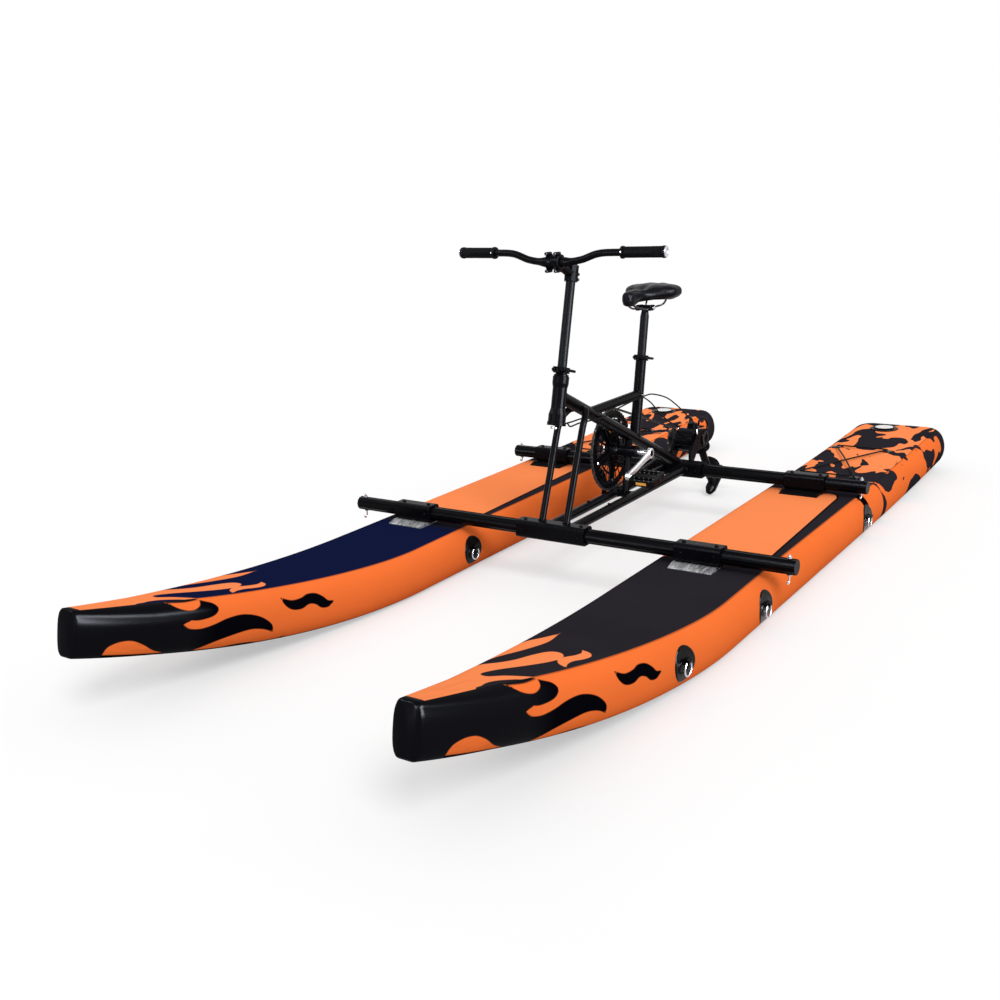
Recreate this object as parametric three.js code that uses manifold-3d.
// Pontoon water bike: two drop-stitch hulls, two cross beams, a bicycle frame and a kick-up drive leg.
// Millimetres, X forward, Y to port, Z up; the origin is on the ground under the middle of the hulls.
import * as THREE from "three";
import { mergeVertices } from "three/addons/utils/BufferGeometryUtils.js";
import Module from "manifold-3d";

const wasm = await Module();
wasm.setup();

// Hulls
const HULL_LENGTH = 3502;
const HULL_SPACING = 1056;
const HULL_HALF_WIDTH = 200;
const HULL_THICKNESS = 150;
const RAIL_DEPTH = 50;
const NOSE_LENGTH = 1163;
const NOSE_HALF_WIDTH = 34;
const NOSE_RAKE = 22;
const NOSE_DECK_RISE = 165;
const NOSE_BOTTOM_RISE = 196;
const NOSE_TIP = 8;
const TIP_SHRINK = 8;
const TAIL_RISE = 22;
const TAIL_CORNER = 45;
const TAIL_SHRINK = 5;

// Clearances
const GAP = 0.3;
const RUNNING_GAP = 0.5;

// Cross beams, their sleeves and the clamps on the decks
const BEAM_BEHIND_NOSE = 250;
const BEAM_PITCH = 916;
const BEAM_RADIUS = 24;
const BEAM_GROOVE = 1.6;
const BEAM_GROOVES = 12;
const TAIL_CURVE_BEHIND = 101;
const BEAM_OVERHANG = 72;
const REAR_BEAM_INSET = 73;
const SLEEVE_HALF = 29;
const SLEEVE_CORNER = 12;
const FRONT_SLEEVE_LENGTH = 250;
const REAR_SLEEVE_LENGTH = 220;
const CLAMP_LENGTH = 147;
const CLAMP_Y = -22;
const PAD_THICKNESS = 11;
const PAD_WIDTH = 138;
const PAD_Y = -30;
const PAD_AHEAD = 62;
const PAD_BEHIND = 34;
const HOOK_INSET = 22;
const HOOK_WIRE = 2.6;
const FRONT_HOOK_DROP = 30;
const REAR_HOOK_DROP = 20;

// Frame tubes, measured from the front beam's axis
const HEAD_ANGLE = THREE.MathUtils.degToRad(14.5);
const HEAD_FOOT_X = -41;
const HEAD_FOOT_Z = 348;
const HEAD_LENGTH = 142;
const HEAD_WAIST = 23;
const HEAD_CUP = 28;
const CUP_HEIGHT = 22;
const RISER_RADIUS = 15;
const STEERER_WALL = 2.8;
const MAIN_TUBE_RADIUS = 20;
const MAIN_TUBE_RISE = 455.2;
const MAIN_TUBE_END_Z = 20.1;
const MAIN_TUBE_FRONT_X = -52;
const TOP_TUBE_RADIUS = 16;
const TOP_TUBE_Z = 339;
const STRUT_RADIUS = 11;
const STRUT_HALF_SPREAD = 45;
const STRUT_FOOT_X = -8;
const STRUT_BEND_X = -120;
const STRUT_BEND_Z = 306;
const STRUT_TOP_X = -186;
const RAIL_RADIUS = 16;
const RAIL_HALF_SPREAD = 40;
const SEAT_ANGLE = THREE.MathUtils.degToRad(11.5);
const SEAT_FOOT_X = -570;
const SEAT_TUBE_LENGTH = 292;
const SEAT_POST_RADIUS = 15.2;
const SEAT_TUBE_WALL = 3;
const SEAT_POST_SHOWN = 160;
const SEAT_POST_HIDDEN = 120;

// Steering column and handlebar
const COLLAR_HEIGHT = 18;
const COLLAR_RADIUS = 25;
const STEERER_SHOWN = 26;
const RISER_SHOWN = 316;
const RISER_HIDDEN = 110;
const DRUM_RADIUS = 30;
const DRUM_HEIGHT = 12;
const STEM_REACH = 100;
const STEM_RISE = 34;
const BAR_RADIUS = 11;
const BAR_CENTRE_RADIUS = 15.5;
const BAR_HALF_LENGTH = 358;
const BAR_RISE = 27;
const BAR_SWEEP = 24;
const GRIP_RADIUS = 16.5;
const GRIP_LENGTH = 142;
const GRIP_RIBS = 5;
const LEVER_LENGTH = 58;

// Saddle
const SADDLE_LENGTH = 290;
const SADDLE_HALF_WIDTH = 105;
const SADDLE_NOSE_HALF_WIDTH = 21;
const SADDLE_HEIGHT = 64;
const SADDLE_LIFT = 28;
const SADDLE_NOSE_AHEAD = 155;
const RAIL_WIRE = 3.5;
const SEAT_RAIL_HALF_SPREAD = 22;

// Cranks, chain and drive unit
const CRANK_X = -520;
const CHAIN_OVER_BEAM = 13;
const CHAINRING_DROP = 27;
const CRANK_LENGTH = 170;
const CRANK_ANGLE = THREE.MathUtils.degToRad(-15.5);
const SPINDLE_RADIUS = 9;
const SHELL_RADIUS = 21;
const SHELL_HALF_WIDTH = 34;
const ARM_Y = 84;
const ARM_THICKNESS = 14;
const CHAINRING_RADIUS = 140;
const CHAINRING_TEETH = 52;
const CHAINRING_THICKNESS = 5;
const CHAIN_Y = -67;
const CHAIN_WIDTH = 9;
const CHAIN_HEIGHT = 8;
const SPROCKET_RADIUS = 38;
const SPROCKET_TEETH = 14;
const TOOTH_HEIGHT = 5;
const PEDAL_LENGTH = 96;
const PEDAL_WIDTH = 88;
const PEDAL_THICKNESS = 20;
const TILT_BEHIND_BEAM = 96;
const HOUSING_RADIUS = 44;
const HOUSING_HALF_WIDTH = 34;
const CHEEK_THICKNESS = 8;
const TRUNNION_RADIUS = 14;
const LEG_ANGLE = THREE.MathUtils.degToRad(33.4);
const LEG_OFFSET = 88;
const LEG_RADIUS = 15;
const LEG_LENGTH = 284;
const STEER_DRUM_RADIUS = 34;
const STEER_DRUM_HEIGHT = 16;
const POD_RADIUS = 22;
const POD_LENGTH = 120;
const PROP_RADIUS = 78;
const PROP_HUB_RADIUS = 18;
const PROP_HUB_LENGTH = 34;
const PROP_BLADES = 3;
const CABLE_RADIUS = 2.5;

// Deck fittings
const RING_RADIUS = 19;
const RING_WIRE = 2.5;
const PATCH_RADIUS = 52;
const PATCH_THICKNESS = 3;
const OUTER_RING_AHEAD = 544;
const INNER_RING_AHEAD = -13;
const TAB_LENGTH = 18;
const VALVE_RADIUS = 58;
const VALVE_CAP_RADIUS = 44;
const VALVE_CAP_HEIGHT = 5;
const VALVE_FROM_TAIL = 84;
const VALVE_Y = -45;
const LACE_RADIUS = 3;
const LACE_HALF_SPREAD = 104;
const LACE_Y = -32;
const LACE_FRONT_SHARE = 0.23;
const LACE_REAR_SHARE = 0.603;

// Worked out from the sizes above
const NOSE_START = HULL_LENGTH / 2 - NOSE_RAKE - NOSE_LENGTH;
const FRONT_BEAM_X = NOSE_START - BEAM_BEHIND_NOSE;
const REAR_BEAM_X = FRONT_BEAM_X - BEAM_PITCH;
const TAIL_START = REAR_BEAM_X - TAIL_CURVE_BEHIND;
const TAIL_LENGTH = TAIL_START + HULL_LENGTH / 2;
const FRONT_BEAM_LENGTH = HULL_SPACING + 2 * HULL_HALF_WIDTH + 2 * BEAM_OVERHANG;
const REAR_BEAM_LENGTH = FRONT_BEAM_LENGTH - 2 * REAR_BEAM_INSET;
const CRANK_Z = SLEEVE_HALF + CHAINRING_RADIUS + CHAIN_HEIGHT - CHAINRING_DROP;
const TILT_X = -BEAM_PITCH - TILT_BEHIND_BEAM;
const TILT_Z = SLEEVE_HALF + SPROCKET_RADIUS + CHAIN_HEIGHT + CHAIN_OVER_BEAM;
const MAIN_TUBE_SLOPE = (MAIN_TUBE_RISE - MAIN_TUBE_END_Z) / BEAM_PITCH;
const BEAM_Z = HULL_THICKNESS + GAP + PAD_THICKNESS + GAP + SLEEVE_HALF;
const HULL_Y = HULL_SPACING / 2;
const STEERER_BORE = RISER_RADIUS + RUNNING_GAP;
const STEERER_RADIUS = STEERER_BORE + STEERER_WALL;
const SEAT_TUBE_BORE = SEAT_POST_RADIUS + RUNNING_GAP;
const SEAT_TUBE_RADIUS = SEAT_TUBE_BORE + SEAT_TUBE_WALL;
const CHEEK_Y = HOUSING_HALF_WIDTH + RUNNING_GAP + CHEEK_THICKNESS / 2;
const FINE = 20;
const COARSE = 10;

const matte = (color, roughness = 0.5, metalness = 0.1) =>
  new THREE.MeshStandardMaterial({ color, roughness, metalness });
const paint = () => matte(0x0c0c10, 0.38, 0.5);
const rubber = () => matte(0x101012, 0.75, 0);
const bareSteel = () => matte(0xb9bcc0, 0.3, 0.95);
const alloy = () => matte(0xd5d7da, 0.25, 0.9);
const fabric = () => matte(0xf0702a, 0.5, 0);

const V = (x, y, z) => new THREE.Vector3(x, y, z);
const Y_AXIS = V(0, 1, 0);

// Solids: a three.js geometry becomes a manifold solid to be cut or joined, and comes back.
function solid(geometry) {
  const bare = (geometry.index ? geometry.toNonIndexed() : geometry).clone();
  bare.deleteAttribute("normal");
  bare.deleteAttribute("uv");
  const merged = mergeVertices(bare, 1e-4);
  const vertProperties = Float32Array.from(merged.attributes.position.array);
  const triVerts = Uint32Array.from(merged.index.array);
  return new wasm.Manifold(new wasm.Mesh({ numProp: 3, vertProperties, triVerts }));
}

function geometryOf(body) {
  const mesh = body.getMesh();
  const geometry = new THREE.BufferGeometry();
  geometry.setAttribute("position", new THREE.BufferAttribute(Float32Array.from(mesh.vertProperties), 3));
  geometry.setIndex(Array.from(mesh.triVerts));
  return geometry;
}

function join(...geometries) {
  return geometryOf(geometries.map(solid).reduce((a, b) => a.add(b)));
}

function cut(geometry, ...cutters) {
  return geometryOf(cutters.map(solid).reduce((a, b) => a.subtract(b), solid(geometry)));
}

// Basic forms
function rod(from, to, radius, sides = COARSE, radiusTo = radius) {
  const along = to.clone().sub(from);
  const geometry = new THREE.CylinderGeometry(radiusTo, radius, along.length(), sides);
  const turn = new THREE.Quaternion().setFromUnitVectors(Y_AXIS, along.clone().normalize());
  geometry.applyQuaternion(turn);
  const middle = from.clone().add(to).multiplyScalar(0.5);
  return geometry.translate(middle.x, middle.y, middle.z);
}

function box(lengthX, lengthY, lengthZ, x = 0, y = 0, z = 0) {
  return new THREE.BoxGeometry(lengthX, lengthY, lengthZ).translate(x, y, z);
}

function turned(profile, sides = FINE) {
  const points = profile.map(([radius, height]) => new THREE.Vector2(radius, height));
  return new THREE.LatheGeometry(points, sides);
}

// A closed profile turned round a line: starts at foot and runs along the unit vector.
function turnedOn(foot, direction, profile, sides = FINE) {
  const geometry = turned(profile, sides);
  geometry.applyQuaternion(new THREE.Quaternion().setFromUnitVectors(Y_AXIS, direction));
  return geometry.translate(foot.x, foot.y, foot.z);
}

const hollow = (bore, radius, low, high) => [
  [bore, low], [radius, low], [radius, high], [bore, high], [bore, low],
];
const full = (radius, low, high) => [[0, low], [radius, low], [radius, high], [0, high]];

function circleShape(radius, sides) {
  const shape = new THREE.Shape();
  for (let i = 0; i < sides; i += 1) {
    const angle = (2 * Math.PI * i) / sides;
    const point = [radius * Math.cos(angle), radius * Math.sin(angle)];
    if (i === 0) shape.moveTo(...point);
    else shape.lineTo(...point);
  }
  shape.closePath();
  return shape;
}

function tubeAlong(points, radius, steps, sides = 10, tension = 0.5) {
  const curve = new THREE.CatmullRomCurve3(points, false, "catmullrom", tension);
  return new THREE.ExtrudeGeometry(circleShape(radius, sides), { steps, extrudePath: curve });
}

// An outline in the XZ plane, given as [x, z] pairs, made thick along Y about y.
function plateXZ(outline, thickness, y, holes = []) {
  const asPath = (points, path) => {
    points.forEach(([x, z], i) => (i === 0 ? path.moveTo(x, z) : path.lineTo(x, z)));
    path.closePath();
    return path;
  };
  const shape = asPath(outline, new THREE.Shape());
  shape.holes = holes.map((hole) => asPath(hole, new THREE.Path()));
  const geometry = new THREE.ExtrudeGeometry(shape, { depth: thickness, bevelEnabled: false });
  return geometry.rotateX(Math.PI / 2).translate(0, y + thickness / 2, 0);
}

function arcPoints(x, z, radius, from, to, count) {
  return Array.from({ length: count }, (_, i) => {
    const angle = from + ((to - from) * i) / (count - 1);
    return [x + radius * Math.cos(angle), z + radius * Math.sin(angle)];
  });
}

const ringPoints = (x, z, radius, count) =>
  arcPoints(x, z, radius, 0, 2 * Math.PI * (1 - 1 / count), count);

// Outline round two circles with straight tangents, as a belt lies.
function beltOutline(big, small, count) {
  const [x1, z1, r1] = big;
  const [x2, z2, r2] = small;
  const heading = Math.atan2(z1 - z2, x1 - x2);
  const lean = Math.acos((r1 - r2) / Math.hypot(x1 - x2, z1 - z2));
  return [
    ...arcPoints(x1, z1, r1, heading - Math.PI + lean, heading + Math.PI - lean, count),
    ...arcPoints(x2, z2, r2, heading + Math.PI - lean, heading + Math.PI + lean, Math.ceil(count / 2)),
  ];
}

// Closed skin through equal rings of points, with both ends closed.
function loft(rings) {
  const count = rings[0].length;
  const positions = rings.flat().flatMap((p) => [p.x, p.y, p.z]);
  const index = [];
  for (let r = 0; r + 1 < rings.length; r += 1) {
    for (let i = 0; i < count; i += 1) {
      const a = r * count + i;
      const b = r * count + ((i + 1) % count);
      index.push(a, b, a + count, b, b + count, a + count);
    }
  }
  const closeEnd = (ring, reversed) => {
    const centre = positions.length / 3;
    const middle = rings[ring].reduce((sum, p) => sum.add(p), V(0, 0, 0)).divideScalar(count);
    positions.push(middle.x, middle.y, middle.z);
    for (let i = 0; i < count; i += 1) {
      const a = ring * count + i;
      const b = ring * count + ((i + 1) % count);
      index.push(...(reversed ? [a, centre, b] : [a, b, centre]));
    }
  };
  closeEnd(0, true);
  closeEnd(rings.length - 1, false);
  const geometry = new THREE.BufferGeometry();
  geometry.setAttribute("position", new THREE.Float32BufferAttribute(positions, 3));
  geometry.setIndex(index);
  return geometry;
}

const object = new THREE.Group();
const frame = new THREE.Group();
frame.position.set(FRONT_BEAM_X, 0, BEAM_Z);
object.add(frame);

function add(parent, name, geometry, material) {
  const mesh = new THREE.Mesh(geometry, material);
  mesh.name = name;
  parent.add(mesh);
  return mesh;
}

// Hull form: distances are measured from the middle of the hull.
const noseShare = (x) => Math.max(0, (x - NOSE_START) / NOSE_LENGTH);
const tailShare = (x) => Math.max(0, (TAIL_START - x) / TAIL_LENGTH);
const tailLift = (x) => TAIL_RISE * tailShare(x) ** 2;
const deckHeight = (x) => HULL_THICKNESS + NOSE_DECK_RISE * noseShare(x) ** 1.7 + tailLift(x);
const bottomHeight = (x) => NOSE_BOTTOM_RISE * noseShare(x) ** 2.1 + tailLift(x);

function hullHalfWidth(x) {
  const taper = (1 - noseShare(x) ** 1.5) ** 0.9;
  const fullWidth = NOSE_HALF_WIDTH + (HULL_HALF_WIDTH - NOSE_HALF_WIDTH) * taper;
  const fromTail = x + HULL_LENGTH / 2;
  if (fromTail >= TAIL_CORNER) return fullWidth;
  return fullWidth - TAIL_CORNER + Math.sqrt(TAIL_CORNER ** 2 - (TAIL_CORNER - fromTail) ** 2);
}

// The ring at x, laid at another station where one is given; under the nose the bottom reaches forward.
function hullRing(x, shrink = 0, station = x) {
  const half = hullHalfWidth(x) - shrink;
  const low = bottomHeight(x) + shrink;
  const high = deckHeight(x) - shrink;
  const rail = Math.min(RAIL_DEPTH, half * 0.6);
  const middle = (low + high) / 2;
  const points = [];
  for (const side of [1, -1]) {
    for (let i = 0; i <= 8; i += 1) {
      const angle = Math.PI / 2 - (Math.PI * i) / 8;
      const y = half - rail + rail * Math.cos(angle);
      const z = middle + (side * (high - low) * Math.sin(angle)) / 2;
      const forward = NOSE_RAKE * noseShare(station) ** 3 * ((high - z) / (high - low));
      points.push(V(station + forward, side * y, z));
    }
  }
  return points;
}

function hullStations() {
  const stations = [];
  const tail = -HULL_LENGTH / 2;
  for (let i = 1; i <= 4; i += 1) stations.push(tail + TAIL_CORNER * (1 - Math.cos((Math.PI * i) / 8)));
  for (let i = 1; i <= 4; i += 1) stations.push(tail + TAIL_CORNER + ((TAIL_LENGTH - TAIL_CORNER) * i) / 4);
  stations.push(NOSE_START);
  for (let i = 1; i <= 15; i += 1) {
    stations.push(NOSE_START + (NOSE_LENGTH - NOSE_TIP) * Math.sin((Math.PI / 2) * (i / 15)));
  }
  return stations;
}

function hullSkin() {
  const tail = -HULL_LENGTH / 2;
  const nose = NOSE_START + NOSE_LENGTH;
  const rings = [hullRing(tail + TAIL_SHRINK / 20, TAIL_SHRINK, tail)];
  for (const x of hullStations()) rings.push(hullRing(x));
  rings.push(hullRing(nose - NOSE_TIP, TIP_SHRINK, nose));
  return loft(rings.reverse());
}

// A ring's patch and its tunnel tab lie on the rail, half way up; side is 1 to port and -1 to starboard.
const ringHeight = (x) => (deckHeight(x) + bottomHeight(x)) / 2 + RING_RADIUS / 2;
const tabSagitta = RING_RADIUS - Math.sqrt(RING_RADIUS ** 2 - (TAB_LENGTH / 2) ** 2);
const tabTunnel = 2 * (1.2 * RING_WIRE + tabSagitta + GAP);
const ringPivotOut = (x) => hullHalfWidth(x) + PATCH_THICKNESS + tabTunnel / 2;

function ringPatch(x, side) {
  const reach = hullHalfWidth(x);
  const middle = (deckHeight(x) + bottomHeight(x)) / 2;
  const patch = rod(V(x, side * (reach - 12), middle), V(x, side * (reach + PATCH_THICKNESS), middle),
    PATCH_RADIUS, FINE);
  const wall = 2.4;
  const height = ringHeight(x);
  const outer = reach + PATCH_THICKNESS + tabTunnel + wall;
  const root = reach - 4;
  const tab = box(TAB_LENGTH, outer - root, tabTunnel + 2 * wall, x, side * ((outer + root) / 2), height);
  const tunnel = box(TAB_LENGTH + 2, tabTunnel, tabTunnel, x, side * ringPivotOut(x), height);
  return cut(join(patch, tab), tunnel);
}

function laceAnchors() {
  const afterdeck = REAR_BEAM_X + HULL_LENGTH / 2;
  return [LACE_REAR_SHARE, LACE_FRONT_SHARE].flatMap((share) => {
    const x = REAR_BEAM_X - afterdeck * share;
    return [-LACE_HALF_SPREAD, LACE_HALF_SPREAD].map((y) => V(x, LACE_Y + y, deckHeight(x)));
  });
}

const ANCHOR_RADIUS = 20;
const ANCHOR_HEIGHT = 4;

const laceAnchor = (at) =>
  rod(V(at.x, at.y, at.z - 8), V(at.x, at.y, at.z + ANCHOR_HEIGHT), ANCHOR_RADIUS, COARSE);

const VALVE_X = -HULL_LENGTH / 2 + VALVE_FROM_TAIL;
const VALVE_PLATE = 3;

function hull(outward) {
  const plateTop = deckHeight(VALVE_X) + VALVE_PLATE;
  const plateFoot = V(VALVE_X, VALVE_Y, plateTop - 14);
  const valvePlate = rod(plateFoot, V(VALVE_X, VALVE_Y, plateTop), VALVE_RADIUS, FINE);
  return join(
    hullSkin(),
    ringPatch(FRONT_BEAM_X + OUTER_RING_AHEAD, outward),
    ringPatch(FRONT_BEAM_X + INNER_RING_AHEAD, -outward),
    valvePlate,
    ...laceAnchors().map(laceAnchor),
  );
}

function valveCap() {
  const cap = rod(V(0, 0, 0), V(0, 0, VALVE_CAP_HEIGHT), VALVE_CAP_RADIUS, FINE, VALVE_CAP_RADIUS - 2);
  const grip = box(2 * VALVE_CAP_RADIUS - 30, 7, 5, 0, 0, VALVE_CAP_HEIGHT);
  return join(cap, grip);
}

// The lacing runs across, diagonally, across and diagonally back, bending on its four anchors.
function lacing() {
  const [rearRight, rearLeft, frontRight, frontLeft] = laceAnchors();
  const lift = ANCHOR_HEIGHT + LACE_RADIUS + 2 * GAP;
  const at = (p, dx, dy) => V(p.x + dx, p.y + dy, p.z + lift);
  const between = (a, b, dx, rise) => a.clone().add(b).multiplyScalar(0.5).add(V(dx, 0, lift + rise));
  const bend = (p, forward, left) => [
    at(p, forward * 8, -left * 22), at(p, forward * 3, -left * 3), at(p, -forward * 14, -left * 8),
  ];
  return tubeAlong([
    at(rearRight, -8, 4),
    between(rearRight, rearLeft, -8, 0),
    ...bend(rearLeft, -1, 1),
    between(rearLeft, frontRight, 0, 0),
    ...bend(frontRight, 1, -1).reverse(),
    between(frontRight, frontLeft, 8, 0),
    ...bend(frontLeft, 1, 1),
    between(frontLeft, rearRight, 0, 2 * LACE_RADIUS + 1),
    at(rearRight, 14, 8),
  ], LACE_RADIUS, 50, 6, 0.35);
}

for (const [name, side] of [["port", 1], ["starboard", -1]]) {
  const group = new THREE.Group();
  group.position.y = side * HULL_Y;
  object.add(group);
  add(group, `${name}_hull`, hull(side), fabric());
  const cap = add(group, `${name}_valve_cap`, valveCap(), matte(0x1a1a1c, 0.5, 0));
  cap.position.set(VALVE_X, VALVE_Y, deckHeight(VALVE_X) + VALVE_PLATE + GAP);
  add(group, `${name}_deck_lacing`, lacing(), matte(0x0b0b0c, 0.8, 0));
  for (const [place, ahead, out] of [["outer", OUTER_RING_AHEAD, side], ["inner", INNER_RING_AHEAD, -side]]) {
    const x = FRONT_BEAM_X + ahead;
    const ring = new THREE.TorusGeometry(RING_RADIUS, RING_WIRE, 6, 16).rotateX(Math.PI / 2);
    const mesh = add(group, `${name}_${place}_tow_ring`, ring, bareSteel());
    mesh.position.set(x, out * ringPivotOut(x), ringHeight(x) - RING_RADIUS);
  }
}

// Cross beams are grooved tubes with a bolt hole for the hook near each end.
function groovedSection(radius) {
  const shape = new THREE.Shape();
  for (let i = 0; i < BEAM_GROOVES * 2; i += 1) {
    const angle = (Math.PI * (i + 0.5)) / BEAM_GROOVES;
    const r = i % 2 === 0 ? radius : radius - BEAM_GROOVE;
    if (i === 0) shape.moveTo(r * Math.cos(angle), r * Math.sin(angle));
    else shape.lineTo(r * Math.cos(angle), r * Math.sin(angle));
  }
  shape.closePath();
  return shape;
}

function alongY(shape, length) {
  const geometry = new THREE.ExtrudeGeometry(shape, { depth: length, bevelEnabled: false });
  return geometry.translate(0, 0, -length / 2).rotateX(Math.PI / 2);
}

// A sleeve is a square block with rounded edges, bored for the beam.
function sleeveSection() {
  const near = SLEEVE_HALF - SLEEVE_CORNER;
  const outline = [[1, 1], [-1, 1], [-1, -1], [1, -1]].flatMap(([x, y], i) =>
    arcPoints(x * near, y * near, SLEEVE_CORNER, (Math.PI / 2) * i, (Math.PI / 2) * (i + 1), 4));
  const shape = new THREE.Shape();
  outline.forEach(([x, y], i) => (i === 0 ? shape.moveTo(x, y) : shape.lineTo(x, y)));
  shape.closePath();
  shape.holes = [circleShape(BEAM_RADIUS + RUNNING_GAP, FINE)];
  return shape;
}

const hookY = (length) => length / 2 - HOOK_INSET;

function beam(length) {
  const bolt = (y) => rod(V(0, y, -2 * BEAM_RADIUS), V(0, y, 2 * BEAM_RADIUS), HOOK_WIRE + GAP, 8);
  return cut(alongY(groovedSection(BEAM_RADIUS), length), bolt(hookY(length)), bolt(-hookY(length)));
}

function hook(drop) {
  const bend = 7;
  const top = BEAM_RADIUS + 11;
  const low = -BEAM_RADIUS - drop;
  const points = [V(0, 0, top), V(0, 0, 0), V(0, 0, -BEAM_RADIUS - 2), V(0, 0, low + 2 * bend)];
  for (let i = 1; i <= 5; i += 1) {
    const angle = (Math.PI * i) / 5;
    points.push(V(bend - bend * Math.cos(angle), 0, low + 1.6 * bend - bend * Math.sin(angle)));
  }
  const wire = tubeAlong(points, HOOK_WIRE, 14, 6, 0.3);
  const nut = rod(V(0, 0, BEAM_RADIUS + GAP), V(0, 0, BEAM_RADIUS + 6), 6, 6);
  const washer = rod(V(0, 0, -BEAM_RADIUS - 3), V(0, 0, -BEAM_RADIUS - GAP), 7, 8);
  return join(wire, nut, washer);
}

function pad() {
  const lip = 6;
  const outline = [[-PAD_BEHIND, 0], [PAD_AHEAD, 0], [PAD_AHEAD, lip / 2], [SLEEVE_HALF + 4, PAD_THICKNESS],
    [-PAD_BEHIND, PAD_THICKNESS]];
  return plateXZ(outline, PAD_WIDTH, 0);
}

const beams = [
  ["front", 0, FRONT_BEAM_LENGTH, FRONT_SLEEVE_LENGTH, FRONT_HOOK_DROP],
  ["rear", -BEAM_PITCH, REAR_BEAM_LENGTH, REAR_SLEEVE_LENGTH, REAR_HOOK_DROP],
];
for (const [name, x, length, sleeveLength, drop] of beams) {
  add(frame, `${name}_cross_beam`, beam(length), paint()).position.x = x;
  add(frame, `${name}_centre_sleeve`, alongY(sleeveSection(), sleeveLength), paint()).position.x = x;
  for (const [sideName, side] of [["port", 1], ["starboard", -1]]) {
    const clampBlock = alongY(sleeveSection(), CLAMP_LENGTH);
    const clamp = add(frame, `${name}_${sideName}_beam_clamp`, clampBlock, paint());
    clamp.position.set(x, side * HULL_Y + CLAMP_Y, 0);
    const padMesh = add(frame, `${name}_${sideName}_deck_pad`, pad(), matte(0x25262a, 0.15, 0));
    padMesh.position.set(x, side * HULL_Y + PAD_Y, -SLEEVE_HALF - GAP - PAD_THICKNESS);
    const hookMesh = add(frame, `${name}_${sideName}_strap_hook`, hook(drop), bareSteel());
    hookMesh.position.set(x, side * hookY(length), 0);
  }
}

// Head tube and steering column, along the leaning head axis
const headAxis = V(-Math.sin(HEAD_ANGLE), 0, Math.cos(HEAD_ANGLE));
const headPoint = (distance) => V(HEAD_FOOT_X, 0, HEAD_FOOT_Z).addScaledVector(headAxis, distance);
const headBore = STEERER_RADIUS + RUNNING_GAP;
const headOutline = (extra, low = 0, high = HEAD_LENGTH) => [
  [HEAD_CUP + extra, low], [HEAD_CUP + extra, CUP_HEIGHT], [HEAD_WAIST + extra, CUP_HEIGHT * 1.9],
  [HEAD_WAIST + extra, HEAD_LENGTH - CUP_HEIGHT * 1.6], [HEAD_CUP - 2 + extra, HEAD_LENGTH - CUP_HEIGHT],
  [HEAD_CUP - 2 + extra, high],
];
const headTube = turnedOn(headPoint(0), headAxis,
  [[headBore, 0], ...headOutline(0), [headBore, HEAD_LENGTH], [headBore, 0]]);
const headSpace = turnedOn(headPoint(0), headAxis, [[0, -4], ...headOutline(GAP, -4, HEAD_LENGTH + 4),
  [0, HEAD_LENGTH + 4]]);
add(frame, "head_tube", headTube, paint());

const steererTop = HEAD_LENGTH + STEERER_SHOWN;
const drumTop = -RUNNING_GAP;
const steerer = turnedOn(headPoint(0), headAxis, [
  [STEERER_BORE, drumTop - DRUM_HEIGHT], [DRUM_RADIUS, drumTop - DRUM_HEIGHT], [DRUM_RADIUS, drumTop],
  [STEERER_RADIUS, drumTop], [STEERER_RADIUS, HEAD_LENGTH + RUNNING_GAP],
  [HEAD_CUP - 4, HEAD_LENGTH + RUNNING_GAP], [HEAD_CUP - 5, HEAD_LENGTH + RUNNING_GAP + 5],
  [STEERER_RADIUS, HEAD_LENGTH + RUNNING_GAP + 7], [STEERER_RADIUS, steererTop],
  [STEERER_BORE, steererTop], [STEERER_BORE, drumTop - DRUM_HEIGHT],
]);
add(frame, "steerer_and_drum", steerer, paint());

// A split collar round a tube end, with two ears and a bolt hole for its quick-release lever.
const EAR_LENGTH = 18;
const PIVOT_OUT = 8;
const EAR_THICKNESS = 7;
const EAR_SLOT = 3;
const PIVOT_RADIUS = 3;
function collar(bore, radius) {
  const ring = turned(hollow(bore, radius, 0, COLLAR_HEIGHT)).rotateX(Math.PI / 2);
  const earY = EAR_SLOT / 2 + EAR_THICKNESS / 2;
  const earX = radius + EAR_LENGTH / 2 - 3;
  const ears = [1, -1].map((side) => box(EAR_LENGTH, EAR_THICKNESS, COLLAR_HEIGHT, earX, side * earY,
    COLLAR_HEIGHT / 2));
  const slot = box(radius, EAR_SLOT, COLLAR_HEIGHT + 2, bore + radius / 2 - 1, 0, COLLAR_HEIGHT / 2);
  const at = (y) => V(radius + PIVOT_OUT, y, COLLAR_HEIGHT / 2);
  const hole = rod(at(-2 * EAR_LENGTH), at(2 * EAR_LENGTH), PIVOT_RADIUS + GAP, COARSE);
  return cut(join(ring, ...ears), slot, hole);
}

// The lever's pin fills the ears' hole; the handle lies back along the collar.
function quickLever(radius) {
  const pinX = radius + PIVOT_OUT;
  const outer = EAR_SLOT / 2 + EAR_THICKNESS;
  const half = COLLAR_HEIGHT / 2;
  const pin = rod(V(pinX, -outer - 5, half), V(pinX, outer + 12, half), PIVOT_RADIUS, COARSE);
  const cam = rod(V(pinX, outer + GAP, half), V(pinX, outer + 11, half), 7, COARSE);
  const nut = rod(V(pinX, -outer - 6, half), V(pinX, -outer - GAP, half), 6, 6);
  const handle = plateXZ([[pinX - 4, half - 5], [pinX - 4, half + 5], [pinX - LEVER_LENGTH, half + 4],
    [pinX - LEVER_LENGTH - 5, half], [pinX - LEVER_LENGTH, half - 4]], 5, outer + 8.5 + radius - 10);
  const root = box(12, radius - 6, 8, pinX - 2, outer + 6 + (radius - 10) / 2, half);
  return join(pin, cam, nut, root, handle);
}

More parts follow.
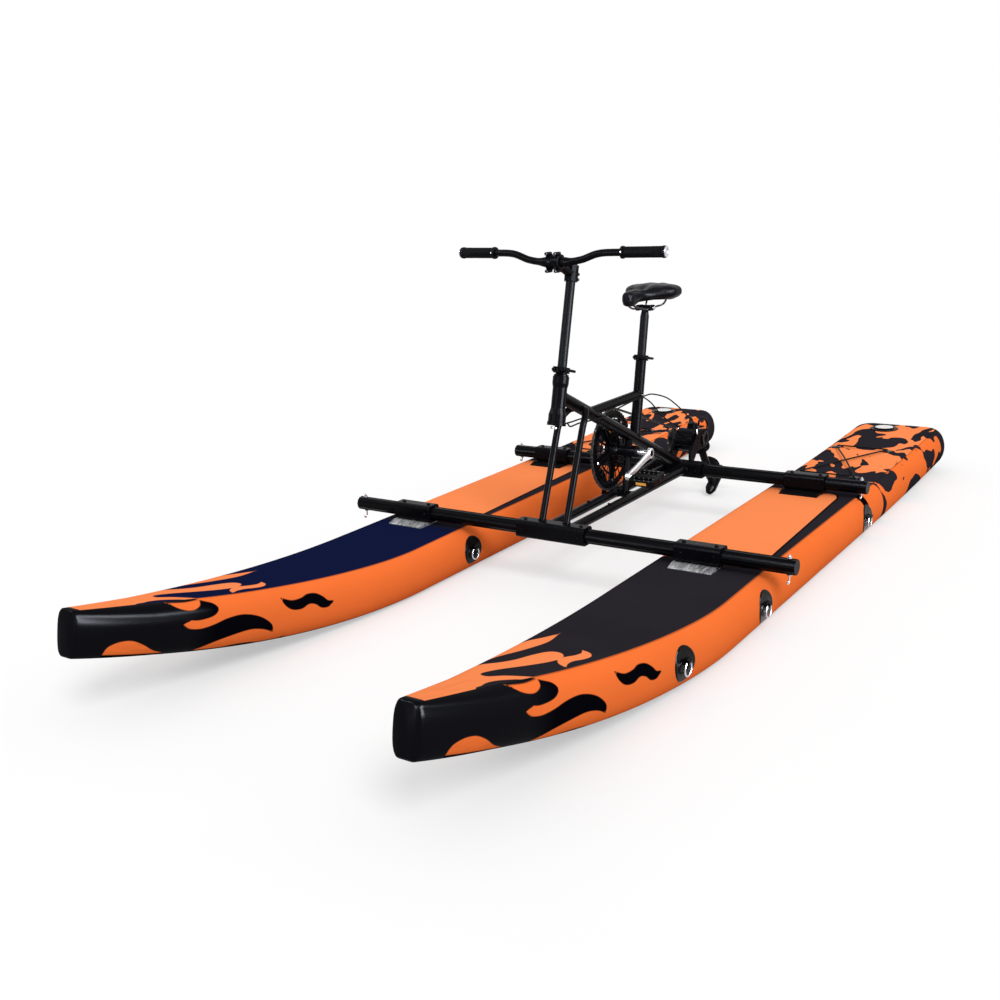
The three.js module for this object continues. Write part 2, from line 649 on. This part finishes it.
// Both clamps' ears point forward, away from the rider.
function placeOnAxis(mesh, foot, leanBack) {
  mesh.position.copy(foot);
  mesh.rotation.y = -leanBack;
}

const collarFoot = headPoint(steererTop - COLLAR_HEIGHT + 2);
const stemCollar = add(frame, "stem_collar", collar(STEERER_RADIUS + GAP, COLLAR_RADIUS), paint());
placeOnAxis(stemCollar, collarFoot, HEAD_ANGLE);
placeOnAxis(add(frame, "stem_lever", quickLever(COLLAR_RADIUS), paint()), collarFoot, HEAD_ANGLE);

const riserTop = steererTop + RISER_SHOWN;
const riser = rod(headPoint(steererTop - RISER_HIDDEN), headPoint(riserTop), RISER_RADIUS, FINE);
add(frame, "handlebar_riser", riser, paint());

const barCentre = headPoint(riserTop - 12).add(V(STEM_REACH, 0, STEM_RISE));
const barPoints = [];
for (const [y, lift, sweep] of [[-1, 1, 1], [-0.62, 1, 0.45], [-0.42, 0.9, 0.15], [-0.26, 0.25, 0],
  [-0.12, 0, 0], [0, 0, 0], [0.12, 0, 0], [0.26, 0.25, 0], [0.42, 0.9, 0.15], [0.62, 1, 0.45], [1, 1, 1]]) {
  barPoints.push(barCentre.clone().add(V(-BAR_SWEEP * sweep, BAR_HALF_LENGTH * y, BAR_RISE * lift)));
}
const BAR_STEPS = 28;
const barTube = tubeAlong(barPoints, BAR_RADIUS, BAR_STEPS, COARSE);
const CENTRE_HALF = 30;
const bulge = turnedOn(barCentre, Y_AXIS, [[0, -2 * CENTRE_HALF], [BAR_RADIUS, -2 * CENTRE_HALF],
  [BAR_CENTRE_RADIUS, -CENTRE_HALF], [BAR_CENTRE_RADIUS, CENTRE_HALF], [BAR_RADIUS, 2 * CENTRE_HALF],
  [0, 2 * CENTRE_HALF]]);
add(frame, "handlebar", join(barTube, bulge), paint());

const STEM_CLAMP_HALF = 23;
const stemFoot = headPoint(riserTop - 46);
const stemTop = headPoint(riserTop + 4);
const beside = (y) => barCentre.clone().add(V(0, y, 0));
const stemBlock = join(
  rod(stemFoot, stemTop, RISER_RADIUS + 7, COARSE),
  rod(headPoint(riserTop - 24), barCentre, 15, COARSE, 13),
  rod(beside(-STEM_CLAMP_HALF), beside(STEM_CLAMP_HALF), BAR_CENTRE_RADIUS + 8, COARSE),
);
const stemHead = cut(stemBlock,
  rod(headPoint(riserTop - 60), headPoint(riserTop + GAP), RISER_RADIUS + GAP, FINE),
  rod(beside(-2 * STEM_CLAMP_HALF), beside(2 * STEM_CLAMP_HALF), BAR_CENTRE_RADIUS + GAP, FINE));
add(frame, "stem_head", stemHead, paint());

// A grip is a ribbed sleeve closed by its end plug.
function gripProfile() {
  const points = [[0, 0], [GRIP_RADIUS + 2.5, 0], [GRIP_RADIUS + 2.5, 9], [GRIP_RADIUS - 1, 10]];
  for (let i = 1; i <= GRIP_RIBS; i += 1) {
    const at = 10 + ((GRIP_LENGTH - 24) * i) / GRIP_RIBS;
    points.push([GRIP_RADIUS, at - 12], [GRIP_RADIUS - 1, at]);
  }
  points.push([GRIP_RADIUS + 1.5, GRIP_LENGTH - 12], [GRIP_RADIUS, GRIP_LENGTH], [0, GRIP_LENGTH]);
  return points;
}
for (const [name, side] of [["port", 1], ["starboard", -1]]) {
  const end = barPoints[side === 1 ? barPoints.length - 1 : 0];
  const inner = barPoints[side === 1 ? barPoints.length - 2 : 1];
  const outward = end.clone().sub(inner).normalize();
  const foot = end.clone().addScaledVector(outward, GAP + 5 - GRIP_LENGTH);
  const sleeve = turnedOn(foot, outward, gripProfile(), COARSE + 2);
  const barSpace = tubeAlong(barPoints, BAR_RADIUS + GAP, BAR_STEPS, COARSE);
  const endSpace = rod(inner.clone().lerp(end, 0.9), end.clone().addScaledVector(outward, GAP),
    BAR_RADIUS + GAP, COARSE);
  add(frame, `${name}_grip`, cut(sleeve, barSpace, endSpace), rubber());
}

// Main tube from the head to the rear sleeve, and the tubes that meet it
const mainZ = (x) => MAIN_TUBE_RISE + MAIN_TUBE_SLOPE * x;
const mainEndX = -BEAM_PITCH + 6;
const mainFoot = V(MAIN_TUBE_FRONT_X, 0, mainZ(MAIN_TUBE_FRONT_X));
const mainTube = (extra) => rod(mainFoot, V(mainEndX, 0, mainZ(mainEndX)), MAIN_TUBE_RADIUS + extra, 16);
const sleeveSpace = 2 * (SLEEVE_HALF + GAP);
const rearSleeveSpace = box(sleeveSpace, REAR_SLEEVE_LENGTH, sleeveSpace, -BEAM_PITCH, 0, 0);
const wide = 8 * MAIN_TUBE_RADIUS;
add(frame, "main_tube", cut(mainTube(0), headSpace, rearSleeveSpace,
  box(wide, wide, wide, -BEAM_PITCH - wide / 2, 0, 0),
  box(wide, wide, wide, -BEAM_PITCH, 0, -SLEEVE_HALF - wide / 2)), paint());

const seatAxis = V(-Math.sin(SEAT_ANGLE), 0, Math.cos(SEAT_ANGLE));
const seatFoot = V(SEAT_FOOT_X, 0, mainZ(SEAT_FOOT_X));
const seatPoint = (distance) => seatFoot.clone().addScaledVector(seatAxis, distance);
const seatTube = turnedOn(seatFoot, seatAxis, hollow(SEAT_TUBE_BORE, SEAT_TUBE_RADIUS, 0, SEAT_TUBE_LENGTH));
add(frame, "seat_tube", cut(seatTube, mainTube(GAP)), paint());

const topTubeFrontX = (TOP_TUBE_Z - MAIN_TUBE_RISE) / MAIN_TUBE_SLOPE;
const topTubeRearX = SEAT_FOOT_X - Math.tan(SEAT_ANGLE) * (TOP_TUBE_Z - seatFoot.z);
const seatLine = [seatPoint(-2 * MAIN_TUBE_RADIUS), seatPoint(SEAT_TUBE_LENGTH)];
const seatSpace = rod(...seatLine, SEAT_TUBE_RADIUS + GAP, FINE);
const topTube = rod(V(topTubeFrontX, 0, TOP_TUBE_Z), V(topTubeRearX, 0, TOP_TUBE_Z), TOP_TUBE_RADIUS, 16);
add(frame, "top_tube", cut(topTube, mainTube(GAP), seatSpace), paint());

for (const [name, side] of [["port", 1], ["starboard", -1]]) {
  const y = side * STRUT_HALF_SPREAD;
  const foot = SLEEVE_HALF + GAP;
  const topZ = mainZ(STRUT_TOP_X);
  const strut = tubeAlong([
    V(STRUT_FOOT_X, y, foot), V((STRUT_FOOT_X + STRUT_BEND_X) / 2, y, (foot + STRUT_BEND_Z) / 2),
    V(STRUT_BEND_X, y, STRUT_BEND_Z), V(STRUT_BEND_X - 24, y * 0.93, STRUT_BEND_Z + 34),
    V(STRUT_TOP_X + 14, y * 0.66, topZ - 6), V(STRUT_TOP_X, 0, topZ),
  ], STRUT_RADIUS, 14, COARSE, 0.35);
  const level = box(wide, wide, wide, STRUT_FOOT_X, y, foot - wide / 2);
  const otherSide = box(2 * wide, wide, 2 * wide, STRUT_TOP_X, (-side * wide) / 2, topZ);
  add(frame, `${name}_front_strut`, cut(strut, mainTube(GAP), level, otherSide), paint());
}

// Lower frame: two rails between the beams' sleeves, and the bottom bracket shell on a post that
// stands on a bridge between them.
const crankAxis = V(CRANK_X, 0, CRANK_Z);
const atCrank = (y) => V(CRANK_X, y, CRANK_Z);
const bridgeX = CRANK_X + 26;
const railEnd = SLEEVE_HALF + GAP;
const lowerRail = (side) => rod(V(-railEnd, side * RAIL_HALF_SPREAD, 0),
  V(railEnd - BEAM_PITCH, side * RAIL_HALF_SPREAD, 0), RAIL_RADIUS, 16);
const lowerFrame = join(
  lowerRail(1),
  lowerRail(-1),
  rod(atCrank(-SHELL_HALF_WIDTH), atCrank(SHELL_HALF_WIDTH), SHELL_RADIUS, FINE),
  rod(V(bridgeX, 0, 0), crankAxis, 13, COARSE),
  rod(crankAxis, V(CRANK_X - 4, 0, mainZ(CRANK_X - 4)), 13, COARSE),
  rod(V(bridgeX, -RAIL_HALF_SPREAD, 0), V(bridgeX, RAIL_HALF_SPREAD, 0), 13, COARSE),
);
add(frame, "lower_frame", cut(lowerFrame, mainTube(GAP),
  rod(atCrank(-50), atCrank(50), SPINDLE_RADIUS + RUNNING_GAP, FINE)), paint());

// The spindle is one piece with the port crank arm; the chainring is held on it.
const spindle = rod(atCrank(-ARM_Y + ARM_THICKNESS / 2 + GAP), atCrank(ARM_Y), SPINDLE_RADIUS, FINE);

function crankArm(angle, y) {
  const end = [CRANK_X + CRANK_LENGTH * Math.cos(angle), CRANK_Z + CRANK_LENGTH * Math.sin(angle)];
  const outline = [
    ...arcPoints(CRANK_X, CRANK_Z, 18, angle + Math.PI / 2, angle + 1.5 * Math.PI, 8),
    ...arcPoints(end[0], end[1], 13, angle - Math.PI / 2, angle + Math.PI / 2, 8),
  ];
  return plateXZ(outline, ARM_THICKNESS, y);
}
const pedalEnd = (angle, y) =>
  V(CRANK_X + CRANK_LENGTH * Math.cos(angle), y, CRANK_Z + CRANK_LENGTH * Math.sin(angle));

// A pedal is a caged platform on a short axle; the axle's end meets the crank arm's face.
function pedal(side) {
  const start = GAP;
  const cageStart = 14;
  const outline = [];
  const halfWidth = PEDAL_WIDTH / 2;
  const corner = 10;
  const cornerX = halfWidth - corner;
  const farY = PEDAL_LENGTH - corner;
  for (const [cx, cy, from] of [[cornerX, farY, 0], [-cornerX, farY, 0.5], [-cornerX, corner, 1],
    [cornerX, corner, 1.5]]) {
    outline.push(...arcPoints(cx, cageStart + cy, corner, from * Math.PI, (from + 0.5) * Math.PI, 4));
  }
  const shape = new THREE.Shape();
  outline.forEach(([x, y], i) => (i === 0 ? shape.moveTo(x, y) : shape.lineTo(x, y)));
  shape.closePath();
  for (const sign of [1, -1]) {
    const near = 13;
    const far = halfWidth - 9;
    const window = new THREE.Path();
    const corners = [[near, cageStart + 10], [far, cageStart + 14], [far, cageStart + PEDAL_LENGTH - 14],
      [near, cageStart + PEDAL_LENGTH - 10]];
    corners.forEach(([x, y], i) => (i === 0 ? window.moveTo(sign * x, y) : window.lineTo(sign * x, y)));
    window.closePath();
    shape.holes.push(window);
  }
  const cage = new THREE.ExtrudeGeometry(shape, { depth: PEDAL_THICKNESS, bevelEnabled: false })
    .translate(0, 0, -PEDAL_THICKNESS / 2);
  const axle = rod(V(0, start, 0), V(0, cageStart + PEDAL_LENGTH - 4, 0), 7, COARSE);
  const geometry = join(cage, axle);
  return side === 1 ? geometry : geometry.rotateZ(Math.PI);
}

const PEDAL_TILT = THREE.MathUtils.degToRad(12);
for (const [name, side, angle] of [["port", 1, CRANK_ANGLE], ["starboard", -1, CRANK_ANGLE + Math.PI]]) {
  const arm = crankArm(angle, side * ARM_Y);
  add(frame, `${name}_crank_arm`, side === 1 ? join(arm, spindle) : arm, alloy());
  const mesh = add(frame, `${name}_pedal`, pedal(side), rubber());
  mesh.position.copy(pedalEnd(angle, side * (ARM_Y + ARM_THICKNESS / 2)));
  mesh.rotation.y = PEDAL_TILT;
}

// Toothed wheels: the tooth tips run just inside the chain.
function toothed(x, z, tip, teeth) {
  const outline = [];
  for (let i = 0; i < teeth; i += 1) {
    for (const [share, radius] of [[-0.14, tip], [0.14, tip], [0.5, tip - TOOTH_HEIGHT]]) {
      const angle = (2 * Math.PI * (i + share)) / teeth;
      outline.push([x + radius * Math.cos(angle), z + radius * Math.sin(angle)]);
    }
  }
  return outline;
}

const SPIDER_ARMS = 5;
const windows = Array.from({ length: SPIDER_ARMS }, (_, i) => {
  const middle = CRANK_ANGLE + (2 * Math.PI * (i + 0.5)) / SPIDER_ARMS;
  const spread = 0.46;
  return [
    ...arcPoints(CRANK_X, CRANK_Z, CHAINRING_RADIUS - 24, middle - spread, middle + spread, 7),
    ...arcPoints(CRANK_X, CRANK_Z, 46, middle + spread * 0.6, middle - spread * 0.6, 4),
  ];
});
const spindleHole = ringPoints(CRANK_X, CRANK_Z, SPINDLE_RADIUS + GAP, FINE);
const ringOutline = toothed(CRANK_X, CRANK_Z, CHAINRING_RADIUS, CHAINRING_TEETH);
const ringPlate = plateXZ(ringOutline, CHAINRING_THICKNESS, CHAIN_Y, [...windows, spindleHole]);
add(frame, "chainring", ringPlate, paint());

const chainInner = beltOutline([CRANK_X, CRANK_Z, CHAINRING_RADIUS + RUNNING_GAP + 0.3],
  [TILT_X, TILT_Z, SPROCKET_RADIUS + RUNNING_GAP + 0.3], 36);
const chainOuter = beltOutline([CRANK_X, CRANK_Z, CHAINRING_RADIUS + CHAIN_HEIGHT],
  [TILT_X, TILT_Z, SPROCKET_RADIUS + CHAIN_HEIGHT], 36);
add(frame, "drive_chain", plateXZ(chainOuter, CHAIN_WIDTH, CHAIN_Y, [chainInner]), matte(0x3a3a3c, 0.4, 0.9));

const INPUT_SHAFT_RADIUS = 8;
const atTilt = (y) => V(TILT_X, y, TILT_Z);
const sprocketFace = CHAIN_Y - CHAINRING_THICKNESS / 2;
add(frame, "drive_sprocket", join(
  plateXZ(toothed(TILT_X, TILT_Z, SPROCKET_RADIUS, SPROCKET_TEETH), CHAINRING_THICKNESS, CHAIN_Y),
  rod(atTilt(sprocketFace - 4), atTilt(-HOUSING_HALF_WIDTH + 10), INPUT_SHAFT_RADIUS, FINE),
), bareSteel());

// Kick-up drive unit: a housing on trunnions, the leg that turns in it, a pod and a propeller
const legDown = V(-Math.sin(LEG_ANGLE), 0, -Math.cos(LEG_ANGLE));
const propBack = V(-Math.cos(LEG_ANGLE), 0, Math.sin(LEG_ANGLE));
const legHead = V(TILT_X - LEG_OFFSET, 0, TILT_Z);
const legPoint = (distance) => legHead.clone().addScaledVector(legDown, distance);
const HOUSING_LENGTH = 52;
const housingOutline = beltOutline([TILT_X, TILT_Z, HOUSING_RADIUS],
  [legHead.x + 4, legHead.z - 8, HOUSING_RADIUS - 6], 16);
const inputBore = INPUT_SHAFT_RADIUS + RUNNING_GAP;
const housing = cut(
  join(
    plateXZ(housingOutline, 2 * HOUSING_HALF_WIDTH, 0),
    rod(legPoint(0), legPoint(HOUSING_LENGTH), HOUSING_HALF_WIDTH - 2, FINE),
    rod(atTilt(-HOUSING_HALF_WIDTH - CHEEK_THICKNESS), atTilt(HOUSING_HALF_WIDTH + CHEEK_THICKNESS),
      TRUNNION_RADIUS, FINE),
  ),
  rod(atTilt(-2 * HOUSING_HALF_WIDTH), atTilt(11 - HOUSING_HALF_WIDTH), inputBore, FINE),
  rod(legPoint(6), legPoint(LEG_LENGTH), LEG_RADIUS + RUNNING_GAP, FINE),
);
add(frame, "drive_housing", housing, paint());

const drumStart = HOUSING_LENGTH + RUNNING_GAP;
const podCentre = legPoint(LEG_LENGTH);
const podFront = podCentre.clone().addScaledVector(propBack, -POD_LENGTH * 0.45);
const leg = join(
  rod(legPoint(8), legPoint(LEG_LENGTH), LEG_RADIUS, FINE),
  rod(legPoint(drumStart), legPoint(drumStart + STEER_DRUM_HEIGHT), STEER_DRUM_RADIUS, FINE),
  turnedOn(podFront, propBack, [[0, 0], [POD_RADIUS * 0.6, 8], [POD_RADIUS, 30],
    [POD_RADIUS, POD_LENGTH - 14], [PROP_HUB_RADIUS, POD_LENGTH], [0, POD_LENGTH]], 16),
);
add(frame, "drive_leg", leg, paint());

const propFoot = podFront.clone().addScaledVector(propBack, POD_LENGTH + RUNNING_GAP);
function propellerBlade(turn) {
  const rings = [];
  for (let i = 0; i <= 5; i += 1) {
    const share = i / 5;
    const radius = PROP_HUB_RADIUS * 0.7 + (PROP_RADIUS - PROP_HUB_RADIUS * 0.7) * share;
    const pitch = THREE.MathUtils.degToRad(58 - 32 * share);
    const chord = 20 + 26 * Math.sin(Math.PI * Math.min(0.95, 0.15 + share * 0.8));
    const thick = 5 - 3 * share;
    const section = [[-0.5, 0], [-0.2, 0.5], [0.25, 0.45], [0.5, 0], [0.2, -0.4], [-0.25, -0.4]];
    rings.push(section.map(([c, t]) => {
      const flat = V(c * chord, t * thick, 0).applyAxisAngle(V(0, 0, 1), pitch);
      return flat.add(V(0, PROP_HUB_LENGTH / 2, radius));
    }));
  }
  return loft(rings.reverse()).rotateY(turn);
}
const propeller = join(
  turned([[0, 0], [PROP_HUB_RADIUS, 0], [PROP_HUB_RADIUS, PROP_HUB_LENGTH - 10], [PROP_HUB_RADIUS * 0.4,
    PROP_HUB_LENGTH + 4], [0, PROP_HUB_LENGTH + 6]], 16),
  ...Array.from({ length: PROP_BLADES }, (_, i) => propellerBlade((2 * Math.PI * i) / PROP_BLADES)),
);
propeller.applyQuaternion(new THREE.Quaternion().setFromUnitVectors(Y_AXIS, propBack));
add(frame, "propeller", propeller.translate(propFoot.x, propFoot.y, propFoot.z), matte(0x1d1d20, 0.4, 0.1));

// Tilt bracket: two cheeks on a back plate bolted to the rear sleeve
const plateX = -BEAM_PITCH - SLEEVE_HALF - GAP;
const cheekOutline = [
  [plateX, -SLEEVE_HALF + 8], [plateX, SLEEVE_HALF + 26],
  ...arcPoints(TILT_X, TILT_Z, 26, Math.PI * 0.42, Math.PI * 1.3, 9),
];
const trunnionHole = ringPoints(TILT_X, TILT_Z, TRUNNION_RADIUS + RUNNING_GAP, FINE);
const tiltBracket = join(
  ...[1, -1].map((side) => plateXZ(cheekOutline, CHEEK_THICKNESS, side * CHEEK_Y, [trunnionHole])),
  box(6, 2 * CHEEK_Y, 2 * SLEEVE_HALF - 8, plateX - 3, 0, 0),
);
add(frame, "tilt_bracket", tiltBracket, paint());

// Steering cables, from the head drum to the tops of the bracket's cheeks
const stopZ = TILT_Z + 26;
for (const [name, side, dip] of [["port", 1, 0], ["starboard", -1, -34]]) {
  const y = (value) => side * value;
  const cable = tubeAlong([
    headPoint(-DRUM_HEIGHT / 2).add(V(-12, y(DRUM_RADIUS + CABLE_RADIUS + 0.8), 0)),
    V(-72, y(30), HEAD_FOOT_Z - 19), V(-112, y(23), HEAD_FOOT_Z - 23), V(-152, y(17), HEAD_FOOT_Z - 25),
    V(-207, y(22), 320), V(-262, y(27), 317), V(-321, y(27), 318), V(-400, y(24), 325), V(-515, y(22), 331),
    V(-601, y(25), 334), V(-660, y(28), 330 + dip * 0.2), V(-760, y(33), 300 + dip * 0.6),
    V(-850, y(36), 252 + dip), V(-930, y(38), 200 + dip * 0.8), V(-982, y(CHEEK_Y), stopZ + 52 + dip * 0.4),
    V(TILT_X, y(CHEEK_Y), stopZ + 20), V(TILT_X, y(CHEEK_Y), stopZ + GAP),
  ], CABLE_RADIUS, 38, 6);
  add(frame, `${name}_steering_cable`, cable, rubber());
}

// Seat post, saddle rails and saddle
const postTop = SEAT_TUBE_LENGTH + SEAT_POST_SHOWN;
const seatTop = seatPoint(postTop);
const collarSeat = seatPoint(SEAT_TUBE_LENGTH - COLLAR_HEIGHT + 2);
const seatCollar = add(frame, "seat_collar", collar(SEAT_TUBE_RADIUS + GAP, COLLAR_RADIUS), paint());
placeOnAxis(seatCollar, collarSeat, SEAT_ANGLE);
placeOnAxis(add(frame, "seat_lever", quickLever(COLLAR_RADIUS), paint()), collarSeat, SEAT_ANGLE);

const railZ = seatTop.z + 8;
const saddleNoseX = seatTop.x + SADDLE_NOSE_AHEAD;
const saddleRearX = saddleNoseX - SADDLE_LENGTH;
const railPoints = [];
for (const side of [1, -1]) {
  const half = [
    V(saddleRearX + 40, side * 38, railZ + 36), V(saddleRearX + 46, side * 37, railZ + 18),
    V(saddleRearX + 62, side * 33, railZ + 5),
    V(seatTop.x - 45, side * SEAT_RAIL_HALF_SPREAD, railZ), V(seatTop.x, side * SEAT_RAIL_HALF_SPREAD, railZ),
    V(seatTop.x + 45, side * SEAT_RAIL_HALF_SPREAD, railZ), V(saddleNoseX - 52, side * 11, railZ + 16),
    V(saddleNoseX - 38, side * 7, railZ + 32),
  ];
  railPoints.push(...(side === 1 ? half : half.reverse()));
}
const rails = (extra) => tubeAlong(railPoints, RAIL_WIRE + extra, 30, 7);
add(frame, "saddle_rails", rails(0), bareSteel());

const clampHead = join(
  rod(seatPoint(SEAT_TUBE_LENGTH - SEAT_POST_HIDDEN), seatPoint(postTop - 22), SEAT_POST_RADIUS, FINE),
  rod(seatPoint(postTop - 22), seatPoint(postTop + 2), SEAT_POST_RADIUS, FINE, 11),
  rod(V(seatTop.x, -30, railZ), V(seatTop.x, 30, railZ), 10, COARSE),
);
add(frame, "seat_post", cut(clampHead, rails(GAP)), paint());

// The saddle widens from nose to rear, is crowned across and dips a little in the middle.
function saddleRing(share) {
  const x = saddleNoseX - SADDLE_LENGTH * share;
  const swell = THREE.MathUtils.smoothstep(share, 0.28, 0.8);
  const tailRound = share > 0.86 ? Math.sqrt(1 - ((share - 0.86) / 0.15) ** 2) : 1;
  const noseRound = share < 0.08 ? Math.sqrt(1 - ((0.08 - share) / 0.09) ** 2) : 1;
  const half = (SADDLE_NOSE_HALF_WIDTH + (SADDLE_HALF_WIDTH - SADDLE_NOSE_HALF_WIDTH) * swell) * tailRound
    * noseRound;
  const dip = 9 * Math.sin(Math.PI * share) ** 2;
  const top = railZ + SADDLE_LIFT + SADDLE_HEIGHT * 0.62 - dip + 6 * swell - 8 * (1 - noseRound)
    - 14 * (1 - tailRound);
  const depth = (SADDLE_HEIGHT * 0.62 + 6 * swell) * (0.55 + 0.45 * tailRound * noseRound);
  return Array.from({ length: 20 }, (_, i) => {
    const angle = (2 * Math.PI * i) / 20;
    const up = Math.sin(angle);
    const rounded = Math.sign(up) * Math.abs(up) ** 0.62;
    const y = half * Math.sign(Math.cos(angle)) * Math.abs(Math.cos(angle)) ** 0.8;
    return V(x, y, top - depth * 0.45 + depth * (up > 0 ? 0.45 : 0.55) * rounded);
  });
}
const saddleShares = [0.004, 0.03, 0.08, 0.18, 0.3, 0.42, 0.54, 0.66, 0.76, 0.86, 0.92, 0.97, 0.995];
add(frame, "saddle", cut(loft(saddleShares.map(saddleRing).reverse()), rails(GAP)), matte(0x0e0e12, 0.45, 0));

export default object;
